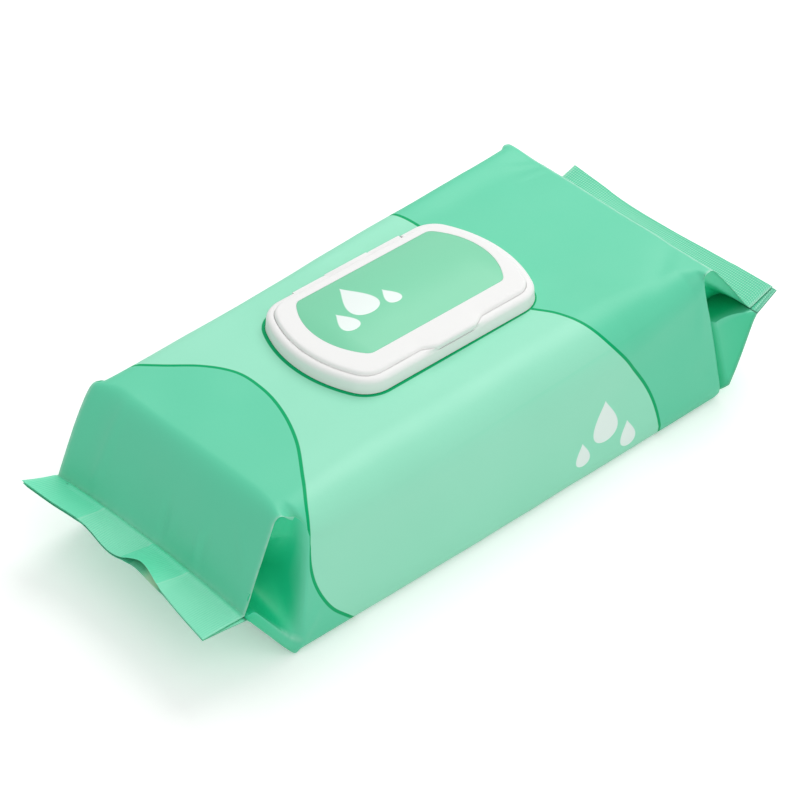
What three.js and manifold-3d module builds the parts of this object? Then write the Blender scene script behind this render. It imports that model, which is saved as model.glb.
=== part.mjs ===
// A soft pack of wet wipes: a flow wrapped film bag with tucked gusset ends and flat end seals,
// the stack of folded wipes inside it, and a moulded dispenser lid round the opening in its top.
//
// Millimetres, +Z up. The origin is on the base, under the middle of the pack.
// +X runs along the pack, and +Y points at the side where the lid is hinged.

import * as THREE from "three";
import { mergeVertices } from "three/addons/utils/BufferGeometryUtils.js";
import Module from "manifold-3d";

const wasm = await Module();
wasm.setup();

// Driving dimensions: the folded wipes
const stackLength = 198;
const stackWidth = 98;
const stackHeight = 57;
const stackTopRound = 11.5;
const stackBaseRound = 3;
const topWipeStep = 0.5; // the last wipe laid on the stack covers only the hinge half of it

// Driving dimensions: the film bag
const filmWall = 1.1; // the film with the slack air that lies behind it
const sideSlack = 2.9; // between the wipes and the film on each long side
const endSlack = 0.6;
const topSlack = 0.5;
const baseSlack = 0.3;
const topRound = 13; // along the two upper long edges
const baseRound = 5; // along the two lower long edges
const endRound = 3; // where the top and the base turn down to the end seals
const endTurn = THREE.MathUtils.degToRad(60);
const gussetRun = 19.8; // from an end fold to the root of its seal
const gussetTuck = 28; // how far each side is tucked in at the seal
const gussetFlap = 0.9; // a flap of doubled film
const foldRound = 4; // corner radius left at an end fold
const sealLength = 14;
const sealThickness = 0.8;
const sealInset = 1; // each end seal is this much narrower than the pack on each side
const leftSeal = { rootHeight: 25, tipHeight: 28 };
const rightSeal = { rootHeight: 33, tipHeight: 37 };
const backSealWidth = 12; // the seam along the base, folded flat
const backSealThickness = 0.4;
const backSealChannel = { width: 16, depth: 0.5 };

// Driving dimensions: the dispenser lid, seen from above
const lidLength = 98;
const lidWidth = 59.6;
const lidEndRadius = 52;
const lidCornerRadius = 12;
const lidPlace = { x: 1.4, y: 9 };
const glueLine = 0.2; // between the film and the frame

// Driving dimensions: the lid frame
const deckThickness = 1.2;
const wallHeight = 5.6;
const wallDraft = 0.8; // how far the outside leans in, up to the shoulder
const shoulderRound = 1.8;
const rimLand = 0.4; // flat top of the wall, beside the parting line
const deckEndMargin = 16; // from the lid's ends to the dispensing window
const deckSideMargin = 12.8;
const windowEndRadius = 36;
const windowCornerRadius = 10;
const windowLip = { thickness: 1.2, height: 3.4 };
const filmOpeningMargin = 1.5; // the cut in the film is this much wider than the window

// Driving dimensions: the flip lid
const partingGap = 0.3;
const plateTop = 7.0;
const plateThickness = 1.4;
const plateRound = 1.1;
const skirt = { thickness: 1.0, foot: 2.2 };
const plug = { thickness: 1.0, foot: 2.4, clearance: 0.4 };
const tabWidth = 31;
const tabReach = 2.9; // past the edge of the lid, out over the frame
const tabBend = 7; // length of the S bend at each end of the tab
const tabThickness = 2.5;
const tabEdgeRound = 0.7;
const notchClearance = 0.5;
const notchFloor = 3.2;

// Driving dimensions: the moulded hinge strip
const hingeHeight = 4.4;
const hingeInset = 0.3; // from the lid's outline in to the line it bends on
const hingeLand = 3.6; // height of the frame's wall under the hinge
const strapThickness = 0.6;
const centreStrap = { width: 20, overhang: 0.4 };
const sideStrapWidth = 14.5;
const strapGap = 1;
const hingeBar = { thickness: 1.4, clearance: 0.4 };

// Driving dimensions: the label stuck on the flip lid
const labelEndMargin = 6.2;
const labelFrontMargin = 8.9;
const labelHingeMargin = 4.1;
const labelShift = 1.9; // towards the right hand end
const labelEndRadius = 30;
const labelCornerRadius = 4;
const labelThickness = 0.2;
const labelGlue = 0.1;
const labelClearance = 0.3;

// Facets of the round stretches
const cornerSteps = 8;
const bowSteps = 14;
const filmArcSteps = 5;
const gussetSteps = 8;

// Sizes that follow
const packWidth = stackWidth + 2 * (sideSlack + filmWall);
const packHeight = stackHeight + topSlack + baseSlack + 2 * filmWall;
const cavityHalf = stackLength / 2 + endSlack;
const foldX = cavityHalf + endRound * Math.sin(endTurn);
const foldDrop = endRound * (1 - Math.cos(endTurn));
const rootX = foldX + gussetRun;
const tipX = rootX + sealLength;
const lidOutline = {
  length: lidLength,
  width: lidWidth,
  endRadius: lidEndRadius,
  cornerRadius: lidCornerRadius,
};
const windowOutline = {
  length: lidLength - 2 * deckEndMargin,
  width: lidWidth - 2 * deckSideMargin,
  endRadius: windowEndRadius,
  cornerRadius: windowCornerRadius,
};
const rimInset = wallDraft + shoulderRound + rimLand;
const plateInset = rimInset + partingGap;
const plateBase = plateTop - plateThickness;
const plateFront = plateInset - lidWidth / 2;
const plateBack = -plateFront;
const hingeY = lidWidth / 2 - hingeInset;
const hingeWidth = centreStrap.width + 2 * (sideStrapWidth + strapGap);
const labelOutline = {
  length: lidLength - 2 * (plateInset + labelEndMargin),
  width: lidWidth - 2 * plateInset - labelFrontMargin - labelHingeMargin,
  endRadius: labelEndRadius,
  cornerRadius: labelCornerRadius,
};
const labelPlace = { x: labelShift, y: (labelFrontMargin - labelHingeMargin) / 2 };
const labelRecess = labelThickness + labelGlue;

// Solids from closed geometry, and back again
function solidOf(geometry) {
  const bare = geometry.clone();
  bare.deleteAttribute("normal");
  bare.deleteAttribute("uv");
  const merged = mergeVertices(bare);
  const mesh = new wasm.Mesh({
    numProp: 3,
    vertProperties: merged.attributes.position.array,
    triVerts: new Uint32Array(merged.index.array),
  });
  return new wasm.Manifold(mesh);
}

function geometryOf(solid) {
  const mesh = solid.getMesh();
  const geometry = new THREE.BufferGeometry();
  geometry.setAttribute("position", new THREE.BufferAttribute(mesh.vertProperties, 3));
  geometry.setIndex(new THREE.BufferAttribute(mesh.triVerts, 1));
  geometry.computeVertexNormals();
  return geometry;
}

function box(from, to) {
  const size = new THREE.Vector3().subVectors(to, from);
  const centre = new THREE.Vector3().addVectors(from, to).multiplyScalar(0.5);
  const geometry = new THREE.BoxGeometry(size.x, size.y, size.z);
  return solidOf(geometry.translate(centre.x, centre.y, centre.z));
}

function extrudeUp(points, base, top) {
  const geometry = new THREE.ExtrudeGeometry(new THREE.Shape(points), {
    depth: top - base,
    bevelEnabled: false,
  });
  return solidOf(geometry.translate(0, 0, base));
}

// Indices of the skin between closed rings of points, counter clockwise seen against the way they run
function skinIndices(ringCount, ringSize, closed) {
  const indices = [];
  const bands = closed ? ringCount : ringCount - 1;
  for (let i = 0; i < bands; i++) {
    const here = i * ringSize;
    const next = ((i + 1) % ringCount) * ringSize;
    for (let j = 0; j < ringSize; j++) {
      const k = (j + 1) % ringSize;
      indices.push(here + j, here + k, next + k, here + j, next + k, next + j);
    }
  }
  return indices;
}

// A solid lofted through rings of points, with a flat cap on its first and last ring
function loft(rings) {
  const size = rings[0].length;
  const points = rings.flat();
  const indices = skinIndices(rings.length, size, false);
  const cap = (ring, first, facesOn) => {
    const middle = points.length;
    const sum = ring.reduce((total, p) => total.add(p), new THREE.Vector3());
    points.push(sum.divideScalar(size));
    for (let j = 0; j < size; j++) {
      const a = first + j;
      const b = first + ((j + 1) % size);
      indices.push(middle, facesOn ? a : b, facesOn ? b : a);
    }
  };
  cap(rings[0], 0, false);
  cap(rings.at(-1), (rings.length - 1) * size, true);
  return solidOf(new THREE.BufferGeometry().setFromPoints(points).setIndex(indices));
}

// A ring shaped solid: a section of [inset, height] points, clockwise, swept round a barrel outline
function sweepAround(outline, section) {
  const rings = section.map(([inset, height]) => barrelRing(outline, inset, height));
  const indices = skinIndices(rings.length, rings[0].length, true);
  return solidOf(new THREE.BufferGeometry().setFromPoints(rings.flat()).setIndex(indices));
}

function arc(centreX, centreY, radius, from, to, steps) {
  return Array.from({ length: steps + 1 }, (_, i) => {
    const angle = from + ((to - from) * i) / steps;
    return new THREE.Vector2(
      centreX + radius * Math.cos(angle),
      centreY + radius * Math.sin(angle),
    );
  });
}

// A barrel outline: straight long sides, bowed ends and round corners, counter clockwise.
// Every inset of one barrel has as many points, each straight inside the last.
function barrel({ length, width, endRadius, cornerRadius }, inset = 0) {
  const bow = endRadius - inset;
  const corner = cornerRadius - inset;
  const bowX = length / 2 - endRadius;
  const cornerY = width / 2 - cornerRadius;
  const cornerX = bowX + Math.sqrt((bow - corner) ** 2 - cornerY ** 2);
  const turn = Math.atan2(cornerY, cornerX - bowX);
  const rightEnd = [
    ...arc(cornerX, -cornerY, corner, -Math.PI / 2, -turn, cornerSteps),
    ...arc(bowX, 0, bow, -turn, turn, bowSteps).slice(1, -1),
    ...arc(cornerX, cornerY, corner, turn, Math.PI / 2, cornerSteps),
  ];
  const leftEnd = rightEnd.map((p) => p.clone().negate());
  return [...rightEnd, ...leftEnd];
}

function barrelRing(outline, inset, height) {
  return barrel(outline, inset).map((p) => new THREE.Vector3(p.x, p.y, height));
}

// One cross section of the film bag, counter clockwise seen from +X. The side is tucked in
// between an upper and a lower flap, and where the tuck is nothing it is the bag's plain side.
function filmRing({ x, top, base, half, topCorner, baseCorner, flap, tuck }) {
  const quarter = Math.PI / 2;
  const side = [
    ...arc(half - baseCorner, base + baseCorner, baseCorner, -quarter, 0, filmArcSteps),
    new THREE.Vector2(half, base + baseCorner + flap),
    new THREE.Vector2(half - tuck, base + baseCorner + 2 * flap),
    new THREE.Vector2(half - tuck, top - topCorner - 2 * flap),
    new THREE.Vector2(half, top - topCorner - flap),
    ...arc(half - topCorner, top - topCorner, topCorner, 0, quarter, filmArcSteps),
  ];
  const otherSide = side.map((p) => new THREE.Vector2(-p.x, p.y)).reverse();
  return [...side, ...otherSide].map((p) => new THREE.Vector3(x, p.x, p.y));
}

// The sections of one end of the bag, from where its body stops out to the tip of the seal
function filmEnd({ rootHeight, tipHeight }) {
  const half = packWidth / 2;
  const mix = THREE.MathUtils.lerp;
  const flapCorner = sealThickness / 4;
  const flapStep = gussetFlap / 4;
  const sections = [];

  // The body's last section, and the round turn of its top and base
  const turnSteps = 3;
  for (let i = 0; i <= turnSteps; i++) {
    const share = i / turnSteps;
    const angle = endTurn * share;
    const drop = endRound * (1 - Math.cos(angle));
    sections.push({
      x: cavityHalf + endRound * Math.sin(angle),
      top: packHeight - drop,
      base: drop,
      half,
      topCorner: mix(topRound, foldRound, share),
      baseCorner: mix(baseRound, foldRound, share),
      flap: gussetFlap,
      tuck: 0,
    });
  }

  // The gusset: the top and base panels close on the seal and the sides tuck in between them
  const rootTop = rootHeight + sealThickness / 2;
  const rootBase = rootHeight - sealThickness / 2;
  const panelDip = 0.25; // share of the S curve in the fall of the panels
  const pocketEnd = 0.92; // the tucked layers are sealed together from here on
  const sealHalf = half - sealInset;
  const gussetSection = (share, tuck) => {
    const eased = mix(share, THREE.MathUtils.smoothstep(share, 0, 1), panelDip);
    return {
      x: mix(foldX, rootX, share),
      top: mix(packHeight - foldDrop, rootTop, eased),
      base: mix(foldDrop, rootBase, eased),
      half: mix(half, sealHalf, share),
      topCorner: flapCorner,
      baseCorner: flapCorner,
      flap: flapStep,
      tuck,
    };
  };
  const pocketWall = 0.01;
  for (let i = 1; i <= gussetSteps; i++) {
    const share = (pocketEnd * i) / gussetSteps;
    sections.push(gussetSection(share, gussetTuck * share));
  }
  sections.push(gussetSection(pocketEnd + pocketWall, 0));

  // The seal: a flat strip of doubled film
  const sealFlap = sealThickness / 16;
  for (const [x, height] of [
    [rootX, rootHeight],
    [tipX, tipHeight],
  ]) {
    sections.push({
      x,
      top: height + sealThickness / 2,
      base: height - sealThickness / 2,
      half: sealHalf,
      topCorner: flapCorner,
      baseCorner: flapCorner,
      flap: sealFlap,
      tuck: 0,
    });
  }
  return sections;
}

function roundedSection(width, base, top, baseCorner, topCorner) {
  const half = width / 2;
  const quarter = Math.PI / 2;
  const right = [
    ...arc(half - baseCorner, base + baseCorner, baseCorner, -quarter, 0, filmArcSteps),
    ...arc(half - topCorner, top - topCorner, topCorner, 0, quarter, filmArcSteps),
  ];
  const left = right.map((p) => new THREE.Vector2(-p.x, p.y)).reverse();
  return [...right, ...left];
}

// A section in the YZ plane drawn out along X, the same length to both sides of the middle
function bar(section, halfLength) {
  const ringAt = (x) => section.map((p) => new THREE.Vector3(x, p.x, p.y));
  return loft([ringAt(-halfLength), ringAt(halfLength)]);
}

function filmWrap() {
  const left = filmEnd(leftSeal).map((s) => filmRing({ ...s, x: -s.x }));
  const right = filmEnd(rightSeal).map(filmRing);
  const skin = loft([...left.reverse(), ...right]);

  const cavity = bar(
    roundedSection(
      packWidth - 2 * filmWall,
      filmWall,
      packHeight - filmWall,
      baseRound - filmWall,
      topRound - filmWall,
    ),
    cavityHalf,
  );
  const opening = extrudeUp(
    barrel(windowOutline, -filmOpeningMargin),
    packHeight - 2 * filmWall,
    packHeight + filmWall,
  ).translate([lidPlace.x, lidPlace.y, 0]);

  // The back seam lies in a channel that its own pressure leaves in the soft base
  const channel = box(
    new THREE.Vector3(-cavityHalf, -backSealChannel.width / 2, -1),
    new THREE.Vector3(cavityHalf, backSealChannel.width / 2, backSealChannel.depth),
  );
  const seam = box(
    new THREE.Vector3(-cavityHalf, -backSealWidth / 2, backSealChannel.depth - backSealThickness),
    new THREE.Vector3(cavityHalf, backSealWidth / 2, filmWall),
  );
  return skin.subtract(channel).add(seam).subtract(cavity).subtract(opening);
}

function wipesStack() {
  const base = filmWall + baseSlack;
  const body = bar(
    roundedSection(
      stackWidth,
      base,
      base + stackHeight - topWipeStep,
      stackBaseRound,
      stackTopRound,
    ),
    stackLength / 2,
  );
  const topWipe = bar(
    roundedSection(
      stackWidth - 2 * stackTopRound,
      base + stackHeight - stackTopRound,
      base + stackHeight,
      stackBaseRound,
      topWipeStep,
    ),
    stackLength / 2,
  );
  const hingeHalf = box(
    new THREE.Vector3(-stackLength, lidPlace.y, 0),
    new THREE.Vector3(stackLength, stackWidth, packHeight),
  );
  return body.add(topWipe.intersect(hingeHalf));
}

// Outline of the thumb tab from above: an S bend out of the lid's front edge, and back again
function tabPoints(clearance) {
  const shape = new THREE.Shape();
  const half = tabWidth / 2 + clearance;
  const root = plateFront + skirt.thickness;
  const edge = plateFront - clearance;
  const reach = plateFront - tabReach - clearance;
  const inner = half - tabBend;
  const pull = tabBend / 2;
  shape.moveTo(-half, root);
  shape.lineTo(-half, edge);
  shape.bezierCurveTo(-half + pull, edge, -inner - pull, reach, -inner, reach);
  shape.lineTo(inner, reach);
  shape.bezierCurveTo(inner + pull, reach, half - pull, edge, half, edge);
  shape.lineTo(half, root);
  return shape.getPoints(cornerSteps);
}

function lidFrame() {
  const shoulderX = wallDraft + shoulderRound;
  const shoulderZ = wallHeight - shoulderRound;
  const shoulder = arc(shoulderX, shoulderZ, shoulderRound, Math.PI, Math.PI / 2, 4);
  const wall = sweepAround(lidOutline, [
    [0, 0],
    ...shoulder.map((p) => [p.x, p.y]),
    [rimInset, wallHeight],
    [rimInset, 0],
  ]);
  const deck = extrudeUp(barrel(lidOutline, rimInset / 2), 0, deckThickness);
  const lip = sweepAround(windowOutline, [
    [-windowLip.thickness, 0],
    [-windowLip.thickness, windowLip.height],
    [0, windowLip.height],
    [0, 0],
  ]);
  const windowHole = extrudeUp(barrel(windowOutline), -1, wallHeight);
  const thumbNotch = extrudeUp(tabPoints(notchClearance), notchFloor, plateTop);
  const hingeNotch = box(
    new THREE.Vector3(-hingeWidth / 2 - hingeBar.clearance, plateBack - hingeBar.thickness, hingeLand),
    new THREE.Vector3(hingeWidth / 2 + hingeBar.clearance, lidWidth, plateTop),
  );
  return wall
    .add(deck.subtract(windowHole))
    .add(lip)
    .subtract(thumbNotch)
    .subtract(hingeNotch);
}

function flipLid() {
  const edge = arc(plateRound, plateTop - plateRound, plateRound, Math.PI, Math.PI / 2, 4);
  const plate = loft([
    barrelRing(lidOutline, plateInset, plateBase),
    ...edge.map((p) => barrelRing(lidOutline, plateInset + p.x, p.y)),
  ]);
  const skirtWall = sweepAround(lidOutline, [
    [plateInset, skirt.foot],
    [plateInset, plateBase + plateThickness / 2],
    [plateInset + skirt.thickness, plateBase + plateThickness / 2],
    [plateInset + skirt.thickness, skirt.foot],
  ]);
  const hingeSide = box(
    new THREE.Vector3(-lidLength, plateBack - lidCornerRadius, 0),
    new THREE.Vector3(lidLength, lidWidth, plateBase + plateThickness / 4),
  );
  const plugRing = sweepAround(windowOutline, [
    [plug.clearance, plug.foot],
    [plug.clearance, plateBase + plateThickness / 2],
    [plug.clearance + plug.thickness, plateBase + plateThickness / 2],
    [plug.clearance + plug.thickness, plug.foot],
  ]);
  const tab = new THREE.ExtrudeGeometry(new THREE.Shape(tabPoints(-tabEdgeRound)), {
    depth: tabThickness - 2 * tabEdgeRound,
    bevelThickness: tabEdgeRound,
    bevelSize: tabEdgeRound,
    bevelSegments: 3,
  }).translate(0, 0, plateTop - tabThickness + tabEdgeRound);
  const recess = extrudeUp(
    barrel(labelOutline, -labelClearance),
    plateTop - labelRecess,
    plateTop + labelRecess,
  ).translate([labelPlace.x, labelPlace.y, 0]);
  return plate
    .add(skirtWall.subtract(hingeSide))
    .add(plugRing)
    .add(solidOf(tab))
    .add(hingeStrip())
    .subtract(recess);
}

// The strip that joins the lid to the frame: a bar under the lid's back edge, and three thin straps
function hingeStrip() {
  const low = hingeHeight - strapThickness / 2;
  const high = hingeHeight + strapThickness / 2;
  const root = plateBack - hingeBar.thickness;
  const strap = (middle, width, end) =>
    box(
      new THREE.Vector3(middle - width / 2, root, low),
      new THREE.Vector3(middle + width / 2, end, high),
    );
  const bridge = box(
    new THREE.Vector3(-hingeWidth / 2, root, low),
    new THREE.Vector3(hingeWidth / 2, plateBack, plateBase + plateThickness / 4),
  );
  const sideMiddle = (centreStrap.width + sideStrapWidth) / 2 + strapGap;
  return bridge
    .add(strap(0, centreStrap.width, hingeY + centreStrap.overhang))
    .add(strap(-sideMiddle, sideStrapWidth, hingeY))
    .add(strap(sideMiddle, sideStrapWidth, hingeY));
}

function lidLabel() {
  const base = plateTop - labelThickness;
  return loft([
    barrelRing(labelOutline, 0, base),
    barrelRing(labelOutline, 0, plateTop),
  ]).translate([labelPlace.x, labelPlace.y, 0]);
}

// The pieces and their materials
const filmPrint = new THREE.MeshStandardMaterial({ color: 0x8fe0bd, roughness: 0.42, metalness: 0 });
const nonwoven = new THREE.MeshStandardMaterial({ color: 0xf4f5f2, roughness: 0.9, metalness: 0 });
const whiteMoulding = new THREE.MeshStandardMaterial({ color: 0xf6f6f4, roughness: 0.4, metalness: 0 });
const labelPrint = new THREE.MeshStandardMaterial({ color: 0x9ae5c2, roughness: 0.35, metalness: 0 });

function piece(name, solid, material) {
  const mesh = new THREE.Mesh(geometryOf(solid), material);
  mesh.name = name;
  return mesh;
}

const bag = new THREE.Group();
bag.add(
  piece("film_wrap", filmWrap(), filmPrint),
  piece("wipes_stack", wipesStack(), nonwoven),
);

const dispenser = new THREE.Group();
dispenser.position.set(lidPlace.x, lidPlace.y, packHeight + glueLine);
dispenser.add(
  piece("lid_frame", lidFrame(), whiteMoulding),
  piece("flip_lid", flipLid(), whiteMoulding),
  piece("lid_label", lidLabel(), labelPrint),
);

const pack = new THREE.Group();
pack.add(bag, dispenser);

export default pack;
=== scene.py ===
"""A soft pack of wet wipes with a flip lid, built round its CAD frame.

The film bag is lofted from one flat sheet with tucked gusset ends and crimped seals. The lid frame and the flip lid
are swept round barrel outlines, and one thin strip bends between them. Lengths in the code are millimetres in the CAD
frame.
"""

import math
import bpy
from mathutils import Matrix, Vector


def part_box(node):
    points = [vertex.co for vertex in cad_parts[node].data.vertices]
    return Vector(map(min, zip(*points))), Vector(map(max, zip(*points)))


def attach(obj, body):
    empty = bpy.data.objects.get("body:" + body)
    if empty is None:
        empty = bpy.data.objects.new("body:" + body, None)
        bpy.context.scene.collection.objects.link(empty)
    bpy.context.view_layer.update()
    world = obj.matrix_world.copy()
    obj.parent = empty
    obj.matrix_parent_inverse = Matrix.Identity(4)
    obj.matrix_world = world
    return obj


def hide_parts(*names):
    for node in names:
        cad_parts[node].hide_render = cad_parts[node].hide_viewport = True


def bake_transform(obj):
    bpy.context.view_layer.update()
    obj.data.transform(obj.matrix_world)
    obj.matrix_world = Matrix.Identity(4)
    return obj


bl_info = {
    "name": "Soft Wipes Pack",
    "version": (1, 0, 0),
    "blender": (4, 5, 0),
    "location": "3D View > Sidebar > Pack",
    "description": "Builds a printed film pack of wet wipes with a hinged dispenser lid",
    "category": "Add Mesh",
}

from functools import partial
from types import SimpleNamespace

import bmesh
import bpy
import numpy as np
from bpy.props import FloatProperty, FloatVectorProperty, PointerProperty
from mathutils import Vector, noise

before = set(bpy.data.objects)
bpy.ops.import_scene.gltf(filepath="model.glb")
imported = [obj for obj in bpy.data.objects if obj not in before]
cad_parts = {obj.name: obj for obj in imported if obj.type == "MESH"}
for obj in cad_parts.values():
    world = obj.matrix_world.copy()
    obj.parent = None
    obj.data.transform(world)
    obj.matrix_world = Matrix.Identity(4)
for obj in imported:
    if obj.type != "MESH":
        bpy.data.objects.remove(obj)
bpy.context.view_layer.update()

MM = 0.001
_, FILM_HIGH = (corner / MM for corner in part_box("film_wrap"))
FRAME_LOW, FRAME_HIGH = (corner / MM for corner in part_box("lid_frame"))
LABEL_LOW, LABEL_HIGH = (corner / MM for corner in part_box("lid_label"))
STACK_LOW, STACK_HIGH = (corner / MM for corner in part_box("wipes_stack"))
LID_MIDDLE = (FRAME_LOW + FRAME_HIGH) / 2
LID_SIZE = np.array((FRAME_HIGH - FRAME_LOW)[:2])
# End and corner radii of the window and of the label, mm
WINDOW_RADII = (36.0, 10.0)
LABEL_RADII = (30.0, 4.0)


# Sizes and colours


def length(name, description, default):
    """A length, written here in millimetres and kept in metres."""
    return FloatProperty(
        name=name, description=description, default=default * MM, precision=4, subtype="DISTANCE", unit="LENGTH"
    )


def colour(name, description, default):
    """A colour as it is written on a screen, kept as linear light."""
    linear = [pow((c / 255 + 0.055) / 1.055, 2.4) if c > 10 else c / 255 / 12.92 for c in default]
    return FloatVectorProperty(name=name, description=description, default=linear, subtype="COLOR", min=0, max=1)


def in_mm(settings):
    """A copy of some settings with their lengths in millimetres."""
    kinds = settings.bl_rna.properties
    values = {key: getattr(settings, key) for key in settings.__annotations__}
    return SimpleNamespace(**{key: v / MM if kinds[key].unit == "LENGTH" else v for key, v in values.items()})


class FilmSettings(bpy.types.PropertyGroup):
    """The printed film bag."""

    base_round: length("Base round", "Radius of the two lower long edges", 5.0)
    tuck_depth: length("Tuck depth", "How far the sides are tucked in at the seals", 29.0)
    left_fold: length("Left fold", "Where the top turns down at the left end, from the middle", 104.5)
    left_soft: length("Left softness", "Half length of the bend at the left fold", 5.5)
    left_tuck: length("Left tuck", "Where the sides turn in at the left end, from the middle", 97.0)
    left_base: length("Left base", "Where the base turns up at the left end, from the middle", 98.0)
    left_root: length("Left root", "Where the left seal starts, from the middle", 117.5)
    left_root_height: length("Left root height", "Height of the left seal at its root", 26.0)
    left_tip: length("Left tip", "Where the left seal ends, from the middle", 131.5)
    left_tip_height: length("Left tip height", "Height of the left seal at its edge", 27.5)
    left_slant: length("Left slant", "How far the left end leans out at the base", 5.0)
    right_fold: length("Right fold", "Where the top turns down at the right end, from the middle", 102.5)
    right_soft: length("Right softness", "Half length of the bend at the right fold", 1.6)
    right_tuck: length("Right tuck", "Where the sides turn in at the right end, from the middle", 97.0)
    right_base: length("Right base", "Where the base turns up at the right end, from the middle", 96.5)
    right_root: length("Right root", "Where the right seal starts, from the middle", 117.5)
    right_root_height: length("Right root height", "Height of the right seal at its root", 33.0)
    right_tip: length("Right tip", "Where the right seal ends, from the middle", 129.8)
    right_tip_height: length("Right tip height", "Height of the right seal at its edge", 37.0)
    right_slant: length("Right slant", "How far the right end leans out at the base", 10.0)
    line_width: length("Line width", "Width of the printed lines", 1.25)
    band: colour("Band", "Pale print in the middle of the pack", (150, 230, 198))
    ends: colour("Ends", "Deeper print at the two ends", (91, 210, 169))
    line: colour("Line", "Printed lines between the two greens", (0, 172, 108))


class LidSettings(bpy.types.PropertyGroup):
    """The moulded lid, its frame and its label."""

    end_radius: length("End radius", "Radius of the bowed ends of the lid", 52.0)
    corner_radius: length("Corner radius", "Radius of the lid's corners", 12.0)
    plate_inset: length("Plate inset", "From the frame's outline to the flip lid's edge", 3.3)
    tab_width: length("Tab width", "Width of the thumb tab", 31.0)
    tab_reach: length("Tab reach", "How far the thumb tab stands out", 2.9)
    window_end: length("Window ends", "From the lid's ends to the window", 16.0)
    window_side: length("Window sides", "From the lid's long sides to the window", 12.8)
    white: colour("White", "The white moulding", (249, 249, 248))
    label: colour("Label", "Ground colour of the label", (125, 215, 173))
    motif: colour("Motif", "Drops printed on the label and the bag", (240, 250, 246))
    wipe: colour("Wipe", "The damp wipes", (238, 240, 238))


class StageSettings(bpy.types.PropertyGroup):
    """Camera, light and floor."""

    azimuth: FloatProperty(
        name="Azimuth", description="Camera's turn round the pack", default=math.radians(-42.2), subtype="ANGLE"
    )
    elevation: FloatProperty(
        name="Elevation", description="Camera's height angle", default=math.radians(38.88), subtype="ANGLE"
    )
    distance: length("Distance", "From the camera to its aim", 1383.4)
    aim: FloatVectorProperty(
        name="Aim", description="What the camera looks at", default=(-0.00689, 0.00028, 0.02926), subtype="TRANSLATION"
    )
    lens: FloatProperty(
        name="Lens", description="Focal length on a 36 mm sensor", default=172.64, subtype="DISTANCE_CAMERA"
    )
    floor: colour("Floor", "The pale floor", (247, 247, 246))
    sky: FloatProperty(name="Sky", description="Strength of the even light", default=0.6, min=0)
    key: FloatProperty(name="Key", description="Power of the main soft lamp", default=7.1, min=0, subtype="POWER")


# Curves and outlines


def ease(low, high, x):
    """0 below low and 1 above high, with a smooth step between."""
    t = np.clip((np.asarray(x, float) - low) / (high - low), 0, 1)
    return t * t * (3 - 2 * t)


def curve(xs, ys, x):
    """A smooth curve through points, read at x."""
    xs, ys = np.asarray(xs, float), np.asarray(ys, float)
    slopes = np.gradient(ys, xs)
    i = np.clip(np.searchsorted(xs, x) - 1, 0, len(xs) - 2)
    h = xs[i + 1] - xs[i]
    t = np.clip((x - xs[i]) / h, 0, 1)
    a = (1 + 2 * t) * (1 - t) ** 2 * ys[i] + t * (1 - t) ** 2 * h * slopes[i]
    return a + t * t * (3 - 2 * t) * ys[i + 1] + t * t * (t - 1) * h * slopes[i + 1]


def arc(centre, radius, start, stop, steps):
    """Points of an arc, its ends included, angles in degrees."""
    a = np.radians(np.linspace(start, stop, steps + 1))
    return np.c_[centre[0] + radius * np.cos(a), centre[1] + radius * np.sin(a)]


def barrel(size, end_radius, corner_radius, inset=0.0, straight=60, stops=()):
    """A barrel outline with bowed ends, counter clockwise, evenly set along its straight sides, and at some stops."""
    bow, corner = end_radius - inset, corner_radius - inset
    bow_x = size[0] / 2 - end_radius
    corner_y = size[1] / 2 - corner_radius
    corner_x = bow_x + math.sqrt((bow - corner) ** 2 - corner_y**2)
    turn = math.degrees(math.atan2(corner_y, corner_x - bow_x))
    right = np.vstack(
        [
            arc((corner_x, -corner_y), corner, -90, -turn, 16),
            arc((bow_x, 0), bow, -turn, turn, 30)[1:-1],
            arc((corner_x, corner_y), corner, turn, 90, 16),
        ]
    )
    side_x = np.linspace(corner_x, -corner_x, straight + 2)[1:-1]
    side_x = np.sort(np.concatenate([side_x, stops, np.negative(stops)]))[::-1]
    back = np.c_[side_x, np.full(len(side_x), size[1] / 2 - inset)]
    return np.vstack([right, back, -right, -back])


def rounded_box(half, low, high, low_round, high_round):
    """Half of a rounded section as breakpoints of its flat length and a function from flat length to y, z."""
    flat_top = half - high_round
    top_arc = math.pi / 2 * high_round
    side = high - low - low_round - high_round
    base_arc = math.pi / 2 * low_round
    breaks = np.cumsum([0, flat_top, top_arc, side, base_arc, half - low_round])

    def at(v):
        v = np.asarray(v, float)
        a = np.clip((v - breaks[1]) / high_round, 0, math.pi / 2)
        b = np.clip((v - breaks[3]) / low_round, 0, math.pi / 2)
        y = np.minimum(v, flat_top) + high_round * np.sin(a) - low_round * (1 - np.cos(b))
        y = y - np.clip(v - breaks[4], 0, None)
        z = high - high_round * (1 - np.cos(a)) - np.clip(v - breaks[2], 0, side) - low_round * np.sin(b)
        return y, z

    return breaks, at


# Meshes


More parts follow.
